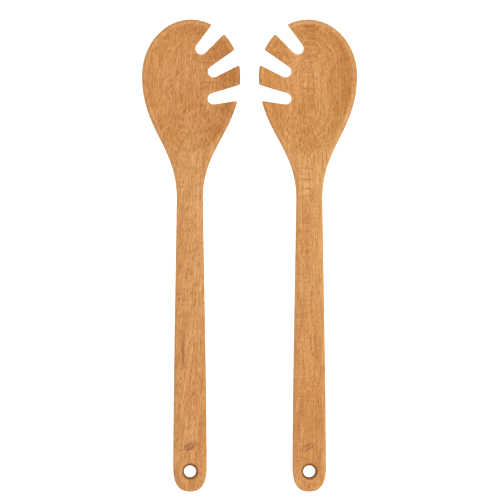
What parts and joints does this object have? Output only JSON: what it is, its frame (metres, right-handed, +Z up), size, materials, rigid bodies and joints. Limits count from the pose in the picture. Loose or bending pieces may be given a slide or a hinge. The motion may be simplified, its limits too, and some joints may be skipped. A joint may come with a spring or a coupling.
{
  "type": "salad servers",
  "caption": "Pair of mirror-image one-piece beech salad servers, each a dished bowl with finger slots, a long flat-fronted handle and a countersunk hanging hole.",
  "frame": {"origin": "middle of the pair's footprint, on the surface the servers lie on", "axes": "+X from the left server to the right one, +Y along the servers from the handles' ends to the bowls' tips, +Z up, out of the dished fronts"},
  "size_m": [0.145, 0.318, 0.0174],
  "materials": {
    "left_beech": "oiled beech, sanded smooth",
    "right_beech": "oiled beech, sanded smooth"
  },
  "bodies": {
    "left": {"left_server": "left_beech"},
    "right": {"right_server": "right_beech"}
  },
  "joints": [
    {"name": "right_server_lift", "type": "slide", "parent": "left", "child": "right", "axis": [0, 0, 1], "range_m": [0, 0.15]}
  ]
}
